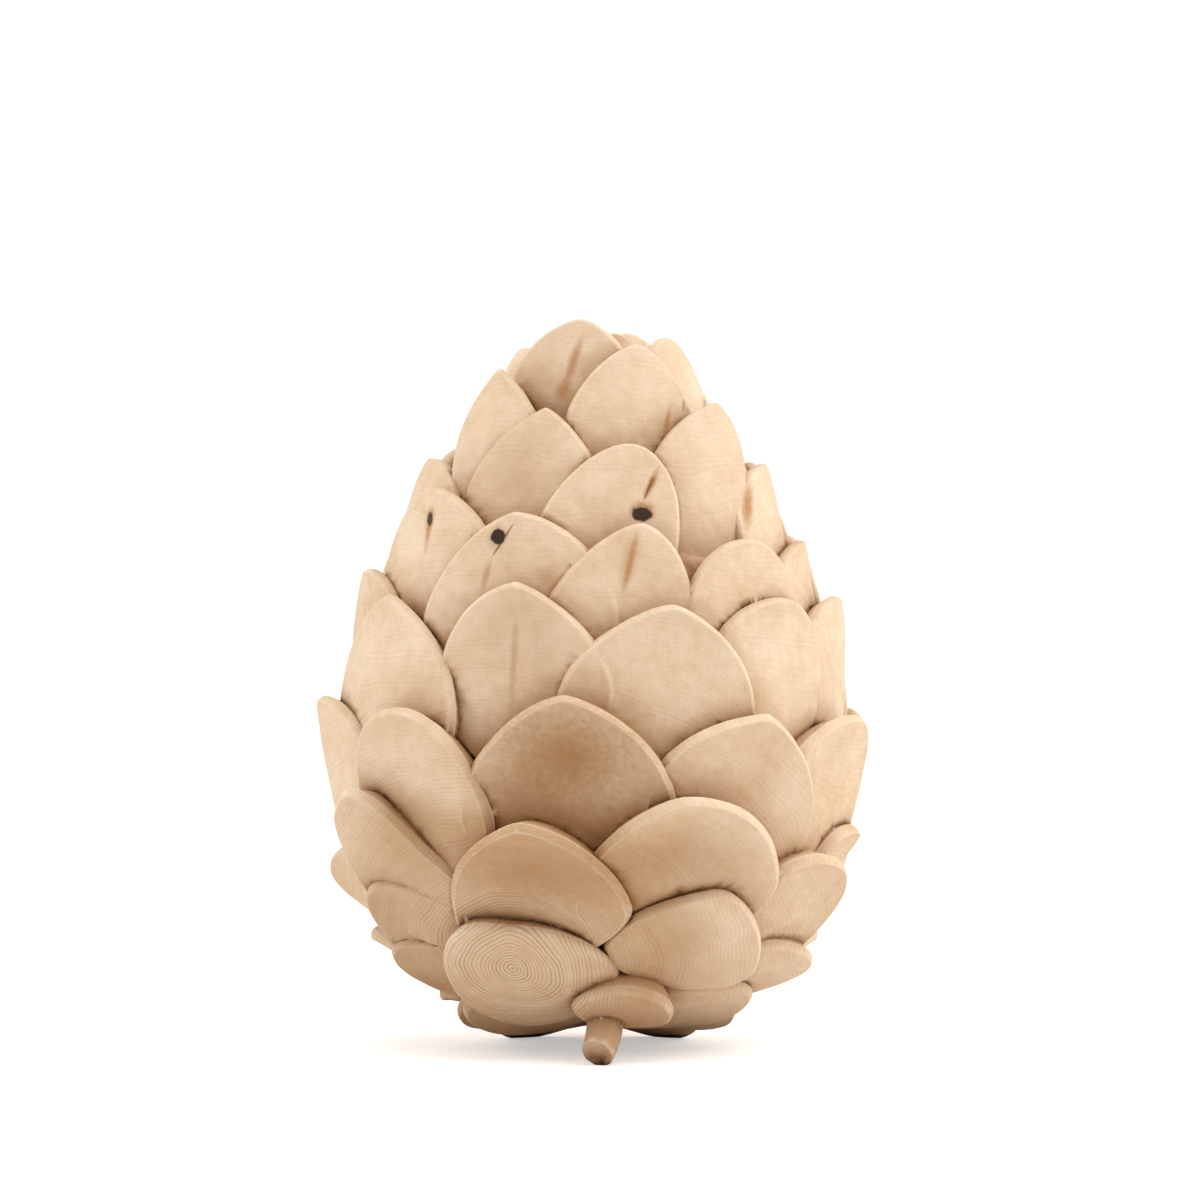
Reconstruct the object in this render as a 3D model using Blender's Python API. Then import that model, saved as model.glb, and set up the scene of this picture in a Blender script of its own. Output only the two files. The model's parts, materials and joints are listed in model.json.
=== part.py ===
"""Carved wooden pine cone: an egg-shaped body whose whole surface is cut into overlapping scales.

It stands upright, leaning back a little, on the end of its short stem and on two of the
lowest scales at the back. The front is -Y and azimuths are counted from the front, positive
towards the viewer's right. All lengths below are in millimetres.
"""

import math
from dataclasses import dataclass, replace

import bmesh
import bpy
import numpy as np
from mathutils import Vector

MM = 0.001

# --- Body envelope: belly radius, its height and the two half-lengths of the egg
BELLY_RADIUS = 68.0
BELLY_HEIGHT = 76.0
LOWER_LENGTH = 68.0
UPPER_LENGTH = 121.0
LOWER_CURVE = (2.3, 0.476)
UPPER_CURVE = (1.75, 0.69)
CORE_DEPTH = 4.5           # how far the uncut core lies under the envelope

# --- Scales
OUTLINE_POINTS = 16
ROOT_CURVE = 1.2           # how fast a scale narrows towards its root
EDGE_BAND = 2.0            # depth of the bevelled rim
EDGE_SPREAD = 0.55         # how far the bevel runs outward, as a share of its depth
ROOT_DEPTH = 13.0          # how far a scale reaches into the core
ROOT_SHARE = 0.70          # size of a scale's root against its outline
LONG_BEND = 115.0          # bending radius along a scale
CROSS_BEND = 1.6           # bending radius across a scale, against the envelope's radius
TIP_CURL = 1.6             # outward curl of a tip
MIN_BEND = 25.0

# --- Pose and stem
LEAN = math.radians(4.6)
FOOT_SINK = 0.45           # how much of the lowest points is cut away flat
STEM_RADIUS = 4.3
STEM_END = (0.3, -44.5)
STEM_DROOP = math.radians(32.0)
STEM_TURN = math.radians(-24.0)
STEM_LENGTH = 24.0
STEM_SIDES = 20
CUTTER_SIZE = 400.0
AXIS_PLACE = (0.7, -3.0)   # where the lean's own axis stands, so that the whole is centred

# --- Finish
WOOD_COLOUR = (0.72, 0.51, 0.31, 1.0)
WOOD_ROUGHNESS = 0.75
CREASE_ANGLE = math.radians(32.0)


@dataclass(frozen=True)
class Scale:
    """One carved scale; azimuth and station are those of its widest line."""

    azimuth: float          # degrees round the axis
    station: float          # distance along the envelope from its lower pole
    half_width: float
    tip: float              # length from the widest line to the tip
    root: float             # length from the widest line to the root
    roll: float = 0.0       # degrees the tip is turned to the right of straight up
    point: float = 1.1      # 1 for a round tip, larger for a pointed one
    flare: float = 12.0     # degrees the tip stands off the envelope
    lift: float = 1.0       # height of the face over the envelope
    hollow: float = 1.0     # how deep the face is dished, negative for a rounded face
    skew: float = 0.0       # how far the tip leans to the right of the middle
    tilt: float = 0.0       # degrees the right side is sunk


# Each row is given by its scales at the front, left to right, then by the even back.
CROWN = [
    Scale(-17, 220.5, 16, 20, 22, 2, 1.3, 34, 1, -0.6, 2),
    Scale(56, 219.5, 13.5, 17, 22, 2, 1.3, 27, 1, -0.6),
    Scale(146, 233, 11, 11, 20, 0, 1.2, 32, 1, -0.4),
    Scale(-112, 224, 13, 13, 24, 0, 1.4, 27, 1, -0.4),
    Scale(42, 241, 9, 8, 18, 0, 1.2, 44, -4, -0.4),
    Scale(-160, 238, 10, 9, 18, 0, 1.3, 40, -3, -0.4),
    Scale(-72, 241, 9, 8, 18, 0, 1.2, 40, -5, -0.4),
    Scale(102, 243, 9, 8, 18, 0, 1.2, 40, -5, -0.4),
]
SHOULDER = [
    Scale(-41, 195, 14.5, 28, 24, -6, 1.85, 22, 0.5, -0.4, -1),
    Scale(15, 204, 17.5, 25.5, 28, 0, 1.5, 25, 1, -0.8, 3),
]
ROW_F = [
    Scale(-66, 176, 14, 26, 20, -28, 1.55, 9, 0, -0.3, -1),
    Scale(-22, 181, 20, 29.5, 22, 4, 1.7, 13, -0.5, 0.4, -1),
    Scale(3, 170, 18, 28.5, 18, 13, 1.15, 13, 0.5, 0.5, 2, 5),
    Scale(35.5, 186, 14, 26.5, 32, 11, 1.5, 20, 1.5, -1.2, 4.5),
    Scale(62, 180, 12, 17, 24, 5, 1.7, 12, 1, -0.3, 9),
]
ROW_E = [
    Scale(-71, 142, 16, 26, 24, -24, 1.65, 11, 0.5, 0, -2.5),
    Scale(-52.5, 163, 21.5, 24, 26, -5.5, 1.3, 12, 0.5, -0.5, -2),
    Scale(-20.5, 148, 27, 29.5, 22, -7, 1.5, 11, 0, 0.3, 1.5),
    Scale(5.5, 144, 19, 30.5, 18, 4.5, 1.3, 12, 0, 0, 4.5, 3),
    Scale(40, 148, 19, 22.5, 24, 2, 1.05, 13, 1, -0.6, 2.5),
    Scale(71, 161, 13, 13, 24, 4, 1.75, 8, 1, 0, 7.5),
]
ROW_D = [
    Scale(-56, 123, 27, 33, 22, 2, 1.35, 6, 1.5, 0.3, -4.5),
    Scale(-17, 132, 23.5, 24.5, 24, 7, 1.5, 12, 1.5, 0.8, -4.5),
    Scale(14.5, 123, 25.5, 28, 22, 7, 1.4, 11, 1.5, 1),
    Scale(45, 134, 20, 21, 26, 5, 1.1, 12, 0.5, 0, 4),
    Scale(74, 136, 18, 23, 26, 16, 1.7, 11, 1, 0.3, 4),
]
ROW_C = [
    Scale(-74, 103, 18.5, 30, 22, -24, 1.6, 10, 0.5, 1, 0.5),
    Scale(-41.5, 95, 20.5, 31, 20, -6, 0.85, 10, 2, 1.4, -1),
    Scale(-6, 95, 28, 33, 20, 4, 1.45, 11, 0, 2.4, -2),
    Scale(32, 95.5, 25.5, 29, 20, 10, 1.45, 11, 0, 2, 0.7),
    Scale(64.5, 101.5, 22, 24, 24, 11, 1.25, 11, 0.5, 1.2, 3),
]
ROW_B = [
    Scale(-48, 77, 14, 29.5, 22, -43, 0.8, 12, 2, 0.8, 10),
    Scale(-15, 68, 23, 31.5, 16, -4, 1.4, 11, 2, 2, 2.4, -3),
    Scale(21, 75, 27, 30.5, 16, -12, 1.3, 12, 0.5, 2.2, 0.6, -5),
    Scale(56, 67.5, 18, 22, 20, 34, 1.1, 12, 1, 1, -5),
    Scale(80, 79, 17, 17, 20, 12, 1.05, 6, -1.5, 1),
]
# The lowest scales spread from the foot of the stem, so they point sideways there.
ROSETTE = [
    Scale(-75, 80, 9, 17, 18, -62, 1, 12, 0.5, 0.5, -3),
    Scale(-50, 63, 14, 18.5, 20, -64, 1.05, 12, 0.5, 0.6, 8),
    Scale(-50, 48, 12, 19, 19, -70, 1, 12, -0.5, 0.4, 6),
    Scale(-26, 49.5, 18.5, 17, 25, -78, 0.85, 9, 2.5, -0.8, 5),
    Scale(-36, 25.5, 13, 17.5, 19, -94, 0.85, 12, 0, 0.2, 6),
    Scale(9, 41.5, 8, 12.5, 12, 84, 0.85, 4, 6, -0.5),
    Scale(32, 62.5, 15.5, 13, 27, 73, 0.9, 11, 2.5, 0.5, 4.5),
    Scale(44, 29, 14, 18.5, 18, 83, 0.95, 5, 1, -0.4, -8),
    Scale(59, 49, 12, 20, 20, 54, 1.1, 13, 0.5, 0.2, 1),
]
UNDERSIDE = [
    Scale(-75, 22, 14, 18, 20, -60, 1.1, 10, 0.5, 0.4),
    Scale(72, 22, 14, 18, 20, 60, 1.1, 10, 0.5, 0.4),
    Scale(148, 22, 15, 17, 19, 0, 1.1, 22, 2.8, 0.4),
    Scale(212, 22, 15, 17, 19, 0, 1.1, 22, 2.8, 0.4),
    Scale(180, 4, 14, 15, 17, 0, 1.1, 8, -3.5, 0.4),
]

# Back of each row: first and last azimuth, number of scales, station, half-width, tip, root
BACK_ROWS = [
    (SHOULDER[1], 97, 247, 4, 208, 14, 18, 26),
    (ROW_F[4], 102, 246, 4, 183, 19, 19, 26),
    (ROW_E[5], 106, 246, 4, 158, 22, 22, 28),
    (ROW_D[4], 112, 256, 4, 133, 24, 24, 27),
    (ROW_C[4], 104, 244, 4, 107, 26, 24, 27),
    (ROW_B[4], 118, 244, 4, 82, 24, 22, 24),
    (ROW_B[4], 108, 256, 5, 57, 18, 15, 22),
    (ROW_B[4], 112, 248, 5, 36, 15, 12, 19),
]


def clear_scene():
    """Remove whatever the scene starts with."""
    for item in list(bpy.data.objects):
        bpy.data.objects.remove(item, do_unlink=True)


def envelope_radius(height):
    """Radius of the egg at a height."""
    below = np.clip((BELLY_HEIGHT - height) / LOWER_LENGTH, 0.0, 1.0)
    above = np.clip((height - BELLY_HEIGHT) / UPPER_LENGTH, 0.0, 1.0)
    low = (1.0 - below ** LOWER_CURVE[0]) ** LOWER_CURVE[1]
    high = (1.0 - above ** UPPER_CURVE[0]) ** UPPER_CURVE[1]
    return BELLY_RADIUS * np.where(height < BELLY_HEIGHT, low, high)


def envelope_meridian(lower_steps=300, upper_steps=400):
    """Radii, heights and running lengths from the lower pole to the upper one."""
    low = BELLY_HEIGHT - LOWER_LENGTH * (1.0 - np.linspace(0.0, 1.0, lower_steps) ** 2)
    share = 1.0 - (1.0 - np.linspace(0.0, 1.0, upper_steps)[1:]) ** 2
    heights = np.concatenate([low, BELLY_HEIGHT + UPPER_LENGTH * share])
    radii = envelope_radius(heights)
    steps = np.hypot(np.diff(radii), np.diff(heights))
    return radii, heights, np.concatenate([[0.0], np.cumsum(steps)])


RADII, HEIGHTS, STATIONS = envelope_meridian()


def surface_frame(azimuth, station):
    """Point on the envelope with its outward, upward and rightward directions."""
    radius = np.interp(station, STATIONS, RADII)
    height = np.interp(station, STATIONS, HEIGHTS)
    rise = np.array([np.interp(station + side, STATIONS, RADII) for side in (-1.0, 1.0)])
    climb = np.array([np.interp(station + side, STATIONS, HEIGHTS) for side in (-1.0, 1.0)])
    slope = np.array([rise[1] - rise[0], climb[1] - climb[0]])
    slope /= np.linalg.norm(slope)
    angle = math.radians(azimuth)
    away = np.array([math.sin(angle), -math.cos(angle), 0.0])
    right = np.array([math.cos(angle), math.sin(angle), 0.0])
    axis = np.array([0.0, 0.0, 1.0])
    point = away * radius + axis * height
    return point, away * slope[1] - axis * slope[0], away * slope[0] + axis * slope[1], right


def scale_outline(scale):
    """Closed outline of a scale in its own plane, tip towards +y."""
    angle = np.linspace(0.0, 2.0 * math.pi, OUTLINE_POINTS, endpoint=False)
    across, along = np.cos(angle), np.sin(angle)
    curve = np.where(along >= 0.0, scale.point, ROOT_CURVE)
    x = scale.half_width * np.sign(across) * np.abs(across) ** curve
    y = along * np.where(along >= 0.0, scale.tip, scale.root)
    return x + scale.skew * np.clip(y / scale.tip, 0.0, 1.0) ** 1.5, y


def scale_mesh(scale):
    """Vertices and faces of one closed scale, sunk into the core at its root."""
    point, outward, upward, right = surface_frame(scale.azimuth, scale.station)
    roll, flare = math.radians(scale.roll), math.radians(scale.flare)
    along = upward * math.cos(roll) + right * math.sin(roll)
    across = right * math.cos(roll) - upward * math.sin(roll)
    normal = outward * math.cos(flare) - along * math.sin(flare)
    along = along * math.cos(flare) + outward * math.sin(flare)
    c, s = math.cos(math.radians(scale.tilt)), math.sin(math.radians(scale.tilt))
    across, normal = across * c - normal * s, normal * c + across * s
    middle = point + outward * scale.lift
    bend = max(math.hypot(point[0], point[1]), MIN_BEND) * CROSS_BEND
    x, y = scale_outline(scale)

    def face_ring(share):
        px, py = x * share, y * share
        height = -px ** 2 / (2.0 * bend) - py ** 2 / (2.0 * LONG_BEND)
        height = height + TIP_CURL * np.clip(py / scale.tip, 0.0, 1.0) ** 2
        height = height + scale.hollow * (share ** 2 - 1.0)
        return middle + np.outer(px, across) + np.outer(py, along) + np.outer(height, normal)

    rim = face_ring(1.0)
    spread = np.outer(x, across) + np.outer(y, along)
    spread /= np.linalg.norm(spread, axis=1)[:, None]
    edge = rim + spread * EDGE_BAND * EDGE_SPREAD - normal * EDGE_BAND
    deep = middle - normal * ROOT_DEPTH
    foot = deep + (edge - middle) * ROOT_SHARE
    rings = [face_ring(0.55), rim, edge, foot]
    top = middle - normal * scale.hollow
    vertices = [top] + [vertex for ring in rings for vertex in ring] + [foot.mean(axis=0)]
    count = OUTLINE_POINTS
    faces = []
    for i in range(count):
        j = (i + 1) % count
        faces.append((0, 1 + i, 1 + j))
        for level in range(len(rings) - 1):
            a, b = 1 + level * count, 1 + (level + 1) * count
            faces += [(a + i, b + i, b + j), (a + i, b + j, a + j)]
        last = 1 + (len(rings) - 1) * count
        faces.append((last + i, len(vertices) - 1, last + j))
    return vertices, faces


def back_scales():
    """Scales of the rows behind, spaced evenly."""
    scales = []
    for model, first, last, count, station, half_width, tip, root in BACK_ROWS:
        for i in range(count):
            azimuth = first + (last - first) * i / (count - 1)
            stagger = 3.0 if i % 2 else -3.0
            scales.append(replace(model, azimuth=azimuth, station=station + stagger, roll=0.0,
                                  half_width=half_width, tip=tip, root=root, point=1.2,
                                  flare=8.0, lift=0.5, skew=0.0, tilt=0.0))
    return scales


def new_object(name, vertices, faces, collection):
    """Mesh object from points in millimetres, with its faces turned outward."""
    mesh = bpy.data.meshes.new(name)
    mesh.from_pydata([tuple(float(c) * MM for c in vertex) for vertex in vertices], [], faces)
    shape = bmesh.new()
    shape.from_mesh(mesh)
    bmesh.ops.recalc_face_normals(shape, faces=shape.faces)
    shape.to_mesh(mesh)
    shape.free()
    item = bpy.data.objects.new(name, mesh)
    collection.objects.link(item)
    return item


def core_mesh(sides=28, steps=16):
    """Closed egg under the scales."""
    middle, half = (HEIGHTS[0] + HEIGHTS[-1]) / 2.0, (HEIGHTS[-1] - HEIGHTS[0]) / 2.0
    squeeze = 1.0 - CORE_DEPTH / half
    stations = np.linspace(0.0, STATIONS[-1], steps + 1)[1:-1]
    radii = np.interp(stations, STATIONS, RADII) * (1.0 - CORE_DEPTH / BELLY_RADIUS)
    heights = middle + (np.interp(stations, STATIONS, HEIGHTS) - middle) * squeeze
    vertices = [(0.0, 0.0, middle - half * squeeze)]
    for radius, height in zip(radii, heights):
        for i in range(sides):
            angle = 2.0 * math.pi * i / sides
            vertices.append((radius * math.sin(angle), -radius * math.cos(angle), height))
    vertices.append((0.0, 0.0, middle + half * squeeze))
    top, last = len(vertices) - 1, 1 + (len(radii) - 1) * sides
    faces = []
    for i in range(sides):
        j = (i + 1) % sides
        faces += [(0, 1 + j, 1 + i), (top, last + i, last + j)]
        for level in range(len(radii) - 1):
            a, b = 1 + level * sides, 1 + (level + 1) * sides
            faces.append((a + i, a + j, b + j, b + i))
    return vertices, faces


def lean_back(points):
    """Turn points about the X axis so that the top goes back."""
    c, s = math.cos(LEAN), math.sin(LEAN)
    points = np.asarray(points, dtype=float)
    turned = points.copy()
    turned[:, 1] = points[:, 1] * c + points[:, 2] * s
    turned[:, 2] = points[:, 2] * c - points[:, 1] * s
    return turned


def stem_mesh():
    """Short bent stem whose end faces the front and a little down."""
    ahead = np.array([math.sin(STEM_TURN), -math.cos(STEM_TURN), 0.0])
    facing = ahead * math.cos(STEM_DROOP) - np.array([0.0, 0.0, math.sin(STEM_DROOP)])
    side = np.array([math.cos(STEM_TURN), math.sin(STEM_TURN), 0.0])
    up = np.cross(facing, side)
    centre = np.array([*STEM_END, STEM_RADIUS * math.cos(STEM_DROOP) - FOOT_SINK])
    bend = np.array([-0.35, 0.0, 0.35])
    rings = []
    for distance, radius in ((0.0, 0.93), (0.6, 1.0), (7.0, 1.08), (STEM_LENGTH, 1.4)):
        drift = bend * distance * distance / STEM_LENGTH
        middle = centre - facing * distance + drift
        rings.append([middle + STEM_RADIUS * radius * (
            side * math.cos(2.0 * math.pi * i / STEM_SIDES)
            + up * math.sin(2.0 * math.pi * i / STEM_SIDES)) for i in range(STEM_SIDES)])
    vertices = [point for ring in rings for point in ring]
    faces = [tuple(range(STEM_SIDES)), tuple(reversed(range(3 * STEM_SIDES, 4 * STEM_SIDES)))]
    for level in range(3):
        a, b = level * STEM_SIDES, (level + 1) * STEM_SIDES
        for i in range(STEM_SIDES):
            j = (i + 1) % STEM_SIDES
            faces.append((a + i, a + j, b + j, b + i))
    return vertices, faces


def apply_modifiers(item):
    """Replace an object's mesh by its evaluated one."""
    graph = bpy.context.evaluated_depsgraph_get()
    graph.update()
    mesh = bpy.data.meshes.new_from_object(item.evaluated_get(graph))
    item.modifiers.clear()
    item.data = mesh


def keep_outer_skin(mesh):
    """Fill hollows closed in between the scales, by keeping only the largest shell."""
    shape = bmesh.new()
    shape.from_mesh(mesh)
    shape.verts.ensure_lookup_table()
    seen, shells = set(), []
    for start in shape.verts:
        if start.index in seen:
            continue
        seen.add(start.index)
        shell, waiting = [], [start]
        while waiting:
            vertex = waiting.pop()
            shell.append(vertex)
            for edge in vertex.link_edges:
                other = edge.other_vert(vertex)
                if other.index not in seen:
                    seen.add(other.index)
                    waiting.append(other)
        shells.append(shell)
    shells.sort(key=len)
    for shell in shells[:-1]:
        bmesh.ops.delete(shape, geom=shell, context="VERTS")
    shape.to_mesh(mesh)
    shape.free()


def wood_material():
    """Pale, dry, sanded pine."""
    material = bpy.data.materials.new("stone_pine_wood")
    material.use_nodes = True
    shader = material.node_tree.nodes["Principled BSDF"]
    shader.inputs["Base Color"].default_value = WOOD_COLOUR
    shader.inputs["Roughness"].default_value = WOOD_ROUGHNESS
    shader.inputs["Metallic"].default_value = 0.0
    material.diffuse_color = WOOD_COLOUR
    return material


def build():
    """Carve the cone and stand it on the floor."""
    clear_scene()
    root = bpy.context.scene.collection
    parts = bpy.data.collections.new("carved_pine_cone")
    pieces = bpy.data.collections.new("scale_pieces")
    cutters = bpy.data.collections.new("cutters")
    for collection in (parts, pieces, cutters):
        root.children.link(collection)

    rows = [CROWN, SHOULDER, ROW_F, ROW_E, ROW_D, ROW_C, ROW_B, ROSETTE, UNDERSIDE]
    scales = [scale for row in rows for scale in row] + back_scales()
    shapes = [scale_mesh(scale) for scale in scales]
    leaned = [(lean_back(vertices), faces) for vertices, faces in shapes]
    drop = min(points[:, 2].min() for points, _ in leaned) + FOOT_SINK
    for number, (points, faces) in enumerate(leaned):
        points[:, 2] -= drop
        new_object(f"scale_{number:02d}", points, faces, pieces)
    new_object("stem", *stem_mesh(), pieces)

    vertices, faces = core_mesh()
    points = lean_back(vertices)
    points[:, 2] -= drop
    cone = new_object("carved_cone", points, faces, parts)
    union = cone.modifiers.new("join scales", "BOOLEAN")
    union.operation = "UNION"
    union.operand_type = "COLLECTION"
    union.collection = pieces
    union.solver = "MANIFOLD"
    apply_modifiers(cone)
    keep_outer_skin(cone.data)
    for item in list(pieces.objects):
        bpy.data.objects.remove(item, do_unlink=True)
    bpy.data.collections.remove(pieces)

    half = CUTTER_SIZE / 2.0
    corners = [(x, y, z) for x in (-half, half) for y in (-half, half) for z in (-half, 0.0)]
    box = [(0, 1, 3, 2), (4, 6, 7, 5), (0, 4, 5, 1), (2, 3, 7, 6), (0, 2, 6, 4), (1, 5, 7, 3)]
    floor = new_object("floor_cutter", corners, box, cutters)
    floor.hide_render = True
    floor.display_type = "WIRE"
    cut = cone.modifiers.new("flat feet", "BOOLEAN")
    cut.operation = "DIFFERENCE"
    cut.object = floor
    cut.solver = "MANIFOLD"

    cone.data.materials.clear()
    cone.data.materials.append(wood_material())
    cone.data.shade_smooth()
    cone.data.set_sharp_from_angle(angle=CREASE_ANGLE)
    shift = Vector((AXIS_PLACE[0] * MM, AXIS_PLACE[1] * MM, 0.0))
    for item in (cone, floor):
        for vertex in item.data.vertices:
            vertex.co += shift
    return cone


build()
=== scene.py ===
"""Dress for a hand-carved stone pine cone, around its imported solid.

The carving is one block of wood: an egg-shaped core, overlapping scales and a short stem
stub. Lengths are in millimetres in the cone's own frame (front is -Y, azimuths run from the
front towards the viewer's right) and become metres in the meshes.
"""

import json
import logging
import math
from dataclasses import dataclass, field
from enum import Enum
from typing import Any, Iterable, Sequence

import bmesh
import bpy
import numpy as np
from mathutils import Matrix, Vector, noise
from mathutils.bvhtree import BVHTree

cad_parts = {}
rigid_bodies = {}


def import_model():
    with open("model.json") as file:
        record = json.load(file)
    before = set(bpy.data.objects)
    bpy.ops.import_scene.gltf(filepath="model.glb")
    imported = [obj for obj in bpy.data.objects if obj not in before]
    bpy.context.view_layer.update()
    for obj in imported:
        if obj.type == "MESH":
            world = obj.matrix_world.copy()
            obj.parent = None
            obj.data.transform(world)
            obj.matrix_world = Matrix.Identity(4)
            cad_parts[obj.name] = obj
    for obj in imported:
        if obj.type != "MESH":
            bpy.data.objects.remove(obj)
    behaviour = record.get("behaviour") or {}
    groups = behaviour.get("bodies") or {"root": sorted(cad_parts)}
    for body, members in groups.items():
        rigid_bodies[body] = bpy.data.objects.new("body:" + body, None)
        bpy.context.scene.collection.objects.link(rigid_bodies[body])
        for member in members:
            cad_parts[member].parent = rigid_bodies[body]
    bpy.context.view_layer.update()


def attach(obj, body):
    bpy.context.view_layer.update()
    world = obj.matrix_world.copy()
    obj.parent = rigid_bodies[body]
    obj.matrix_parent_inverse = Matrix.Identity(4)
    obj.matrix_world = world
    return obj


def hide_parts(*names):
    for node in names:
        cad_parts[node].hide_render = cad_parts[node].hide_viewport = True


LOG = logging.getLogger("carved_pine_cone")
MM = 0.001
Point = tuple[float, float, float]

MATH = "ShaderNodeMath"
VECTOR = "ShaderNodeVectorMath"
RANGE = "ShaderNodeMapRange"
MIX = "ShaderNodeMix"
NOISE = "ShaderNodeTexNoise"
NAMED = "GeometryNodeInputNamedAttribute"
STORE = "GeometryNodeStoreNamedAttribute"


def linear(colour: str) -> tuple[float, float, float, float]:
    """Turn an sRGB hex colour into linear light.

    Args:
        colour: six hex digits, with or without a leading #.

    Returns:
        Red, green, blue and an alpha of one.
    """
    digits = colour.lstrip("#")
    parts = [int(digits[i:i + 2], 16) / 255.0 for i in (0, 2, 4)]
    light = [p / 12.92 if p <= 0.04045 else ((p + 0.055) / 1.055) ** 2.4 for p in parts]
    return light[0], light[1], light[2], 1.0


def add(tree: bpy.types.NodeTree, kind: str, sockets: Any = (), **settings: Any) -> Any:
    """Add one node with its settings and links.

    Args:
        tree: node tree that takes the node.
        kind: the node's type.
        sockets: values or sources for its inputs, in order or as a dict by index or name;
            None leaves an input as it is, and a node stands for its first output.
        settings: properties to set first.

    Returns:
        The new node.
    """
    node = tree.nodes.new(kind)
    for name, value in settings.items():
        setattr(node, name, value)
    pairs = sockets.items() if isinstance(sockets, dict) else enumerate(sockets)
    for key, value in pairs:
        if value is None:
            continue
        if isinstance(value, bpy.types.Node):
            value = value.outputs[0]
        if isinstance(value, bpy.types.NodeSocket):
            tree.links.new(value, node.inputs[key])
        else:
            node.inputs[key].default_value = value
    return node


class RimCut(Enum):
    """How a scale's rim is cut: width of the bevel, its depth and how round it is."""

    CRISP = (1.2, 2.2, 0.35)
    EASED = (1.2, 2.1, 0.6)
    ROUNDED = (1.1, 2.1, 0.9)


@dataclass(frozen=True)
class Scale:
    """One carved scale; azimuth and station are those of its widest line.

    A skewed tip leans to the right of the middle, a tilted scale has its right side sunk.
    """

    azimuth: float
    station: float
    half_width: float
    tip: float
    root: float
    roll: float = 0.0
    point: float = 1.1
    flare: float = 12.0
    lift: float = 1.0
    hollow: float = 1.0
    skew: float = 0.0
    tilt: float = 0.0
    curl: float = 1.6
    rim: RimCut = RimCut.EASED


@dataclass(frozen=True)
class Envelope:
    """The egg that the scales lie on."""

    belly_radius: float = 68.0
    belly_height: float = 76.0
    lower_length: float = 68.0
    upper_length: float = 121.0
    lower_curve: tuple[float, float] = (2.3, 0.476)
    upper_curve: tuple[float, float] = (1.75, 0.69)

    def radius(self, height: np.ndarray) -> np.ndarray:
        """Radius of the egg at some heights.

        Args:
            height: heights over the lower pole's plane.

        Returns:
            The radii.
        """
        below = np.clip((self.belly_height - height) / self.lower_length, 0.0, 1.0)
        above = np.clip((height - self.belly_height) / self.upper_length, 0.0, 1.0)
        low = (1.0 - below ** self.lower_curve[0]) ** self.lower_curve[1]
        high = (1.0 - above ** self.upper_curve[0]) ** self.upper_curve[1]
        return self.belly_radius * np.where(height < self.belly_height, low, high)

    def meridian(self) -> tuple[np.ndarray, np.ndarray, np.ndarray]:
        """Radii, heights and running lengths from the lower pole to the upper one."""
        low = self.belly_height - self.lower_length * (1.0 - np.linspace(0.0, 1.0, 300) ** 2)
        share = 1.0 - (1.0 - np.linspace(0.0, 1.0, 400)[1:]) ** 2
        heights = np.concatenate([low, self.belly_height + self.upper_length * share])
        radii = self.radius(heights)
        steps = np.hypot(np.diff(radii), np.diff(heights))
        return radii, heights, np.concatenate([[0.0], np.cumsum(steps)])

    def frame(self, azimuth: float, station: float) -> tuple[np.ndarray, ...]:
        """Place on the egg with the directions there.

        Args:
            azimuth: degrees round the axis from the front.
            station: length along the egg from its lower pole.

        Returns:
            Point, outward, upward and rightward directions.
        """
        radii, heights, stations = self.meridian()
        radius = np.interp(station, stations, radii)
        height = np.interp(station, stations, heights)
        ends = (station - 1.0, station + 1.0)
        slope = np.array([np.ptp(np.interp(ends, stations, radii)) *
                          np.sign(np.diff(np.interp(ends, stations, radii)))[0],
                          np.diff(np.interp(ends, stations, heights))[0]])
        slope /= np.linalg.norm(slope)
        angle = math.radians(azimuth)
        away = np.array([math.sin(angle), -math.cos(angle), 0.0])
        right = np.array([math.cos(angle), math.sin(angle), 0.0])
        axis = np.array([0.0, 0.0, 1.0])
        outward = away * slope[1] - axis * slope[0]
        upward = away * slope[0] + axis * slope[1]
        return away * radius + axis * height, outward, upward, right


@dataclass(frozen=True)
class Stance:
    """How the cone leans back and where it stands."""

    lean: float = math.radians(4.6)
    drop: float = 3.53
    place: tuple[float, float] = (0.7, -3.0)

    def turn(self, directions: np.ndarray) -> np.ndarray:
        """Turn directions about the X axis so that the top goes back."""
        c, s = math.cos(self.lean), math.sin(self.lean)
        turned = np.array(directions, dtype=float)
        y, z = turned[..., 1].copy(), turned[..., 2].copy()
        turned[..., 1], turned[..., 2] = y * c + z * s, z * c - y * s
        return turned

    def put(self, points: np.ndarray) -> np.ndarray:
        """Turn points, set them down and move them to their place."""
        return self.turn(points) + np.array([self.place[0], self.place[1], -self.drop])


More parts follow.
